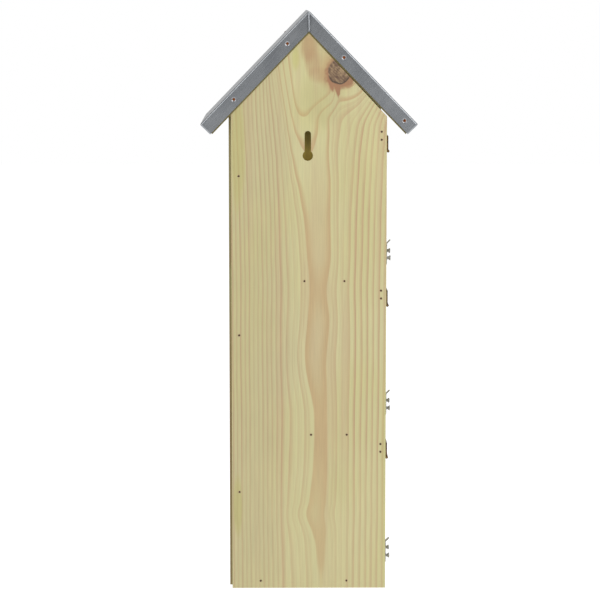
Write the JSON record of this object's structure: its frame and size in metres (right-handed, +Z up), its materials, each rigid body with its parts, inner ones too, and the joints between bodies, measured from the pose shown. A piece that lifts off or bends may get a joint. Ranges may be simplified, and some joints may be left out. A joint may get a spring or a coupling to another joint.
{
  "type": "sparrow terrace nest box",
  "caption": "Tall gabled pine nest box with stacked nesting spaces, round entrances, top-hinged side flaps held by swing hooks, a folded metal roof and a keyhole for hanging.",
  "frame": {"origin": "on the ground under the middle of the roof", "axes": "+Z up, +Y out of the back board (the hanging side), entrances face -Y, the flaps are on the -X side"},
  "size_m": [0.217, 0.191, 0.5859],
  "materials": {
    "pine": "pressure-treated, planed, unpainted",
    "galvanised_sheet": "weathered galvanised",
    "nail": "dull, lightly rusted",
    "brass_hinge": "brown brass plating",
    "hinge_pin": "plated",
    "hinge_nail": "brass plating",
    "screw": "yellow zinc plating",
    "zinc_hook": "bright zinc plating"
  },
  "bodies": {
    "box": {"back_board": "pine", "front_board": "pine", "side_panel": "pine", "bottom_floor": "pine", "middle_floor": "pine", "upper_floor": "pine", "roof_board_panel_side": "pine", "roof_board_flap_side": "pine", "lower_rail": "pine", "middle_rail": "pine", "upper_rail": "pine", "roof_sheet": "galvanised_sheet", "roof_nails": "nail", "side_panel_nails": "nail", "floor_nails": "nail", "rail_nails": "nail", "lower_rear_hinge_rail_leaf": "brass_hinge", "lower_rear_hinge_pin": "hinge_pin", "lower_front_hinge_rail_leaf": "brass_hinge", "lower_front_hinge_pin": "hinge_pin", "middle_rear_hinge_rail_leaf": "brass_hinge", "middle_rear_hinge_pin": "hinge_pin", "middle_front_hinge_rail_leaf": "brass_hinge", "middle_front_hinge_pin": "hinge_pin", "upper_rear_hinge_rail_leaf": "brass_hinge", "upper_rear_hinge_pin": "hinge_pin", "upper_front_hinge_rail_leaf": "brass_hinge", "upper_front_hinge_pin": "hinge_pin", "hinge_rail_nails": "hinge_nail", "hook_pivot_screws": "screw"},
    "lower_flap": {"lower_flap": "pine", "lower_front_hinge_flap_leaf": "brass_hinge", "lower_rear_hinge_flap_leaf": "brass_hinge", "lower_flap_nails": "hinge_nail", "lower_catch_screw": "screw"},
    "lower_hook": {"lower_hook": "zinc_hook"},
    "middle_flap": {"middle_flap": "pine", "middle_front_hinge_flap_leaf": "brass_hinge", "middle_rear_hinge_flap_leaf": "brass_hinge", "middle_flap_nails": "hinge_nail", "middle_catch_screw": "screw"},
    "middle_hook": {"middle_hook": "zinc_hook"},
    "upper_flap": {"upper_flap": "pine", "upper_front_hinge_flap_leaf": "brass_hinge", "upper_rear_hinge_flap_leaf": "brass_hinge", "upper_flap_nails": "hinge_nail", "upper_catch_screw": "screw"},
    "upper_hook": {"upper_hook": "zinc_hook"}
  },
  "joints": [
    {"name": "lower_flap_hinge", "type": "hinge", "parent": "box", "child": "lower_flap", "pos_m": [-0.0801, 0.0158, 0.1317], "axis": [0, 1, 0], "range_deg": [0, 150]},
    {"name": "lower_hook_pivot", "type": "hinge", "parent": "box", "child": "lower_hook", "pos_m": [-0.0785, 0.0823, 0.0314], "axis": [1, 0, 0], "range_deg": [-15, 55]},
    {"name": "middle_flap_hinge", "type": "hinge", "parent": "box", "child": "middle_flap", "pos_m": [-0.0801, 0.0158, 0.2887], "axis": [0, 1, 0], "range_deg": [0, 150]},
    {"name": "middle_hook_pivot", "type": "hinge", "parent": "box", "child": "middle_hook", "pos_m": [-0.0785, 0.0823, 0.1846], "axis": [1, 0, 0], "range_deg": [-15, 55]},
    {"name": "upper_flap_hinge", "type": "hinge", "parent": "box", "child": "upper_flap", "pos_m": [-0.0801, 0.0158, 0.4457], "axis": [0, 1, 0], "range_deg": [0, 115]},
    {"name": "upper_hook_pivot", "type": "hinge", "parent": "box", "child": "upper_hook", "pos_m": [-0.0785, 0.0823, 0.3384], "axis": [1, 0, 0], "range_deg": [-15, 55]}
  ]
}
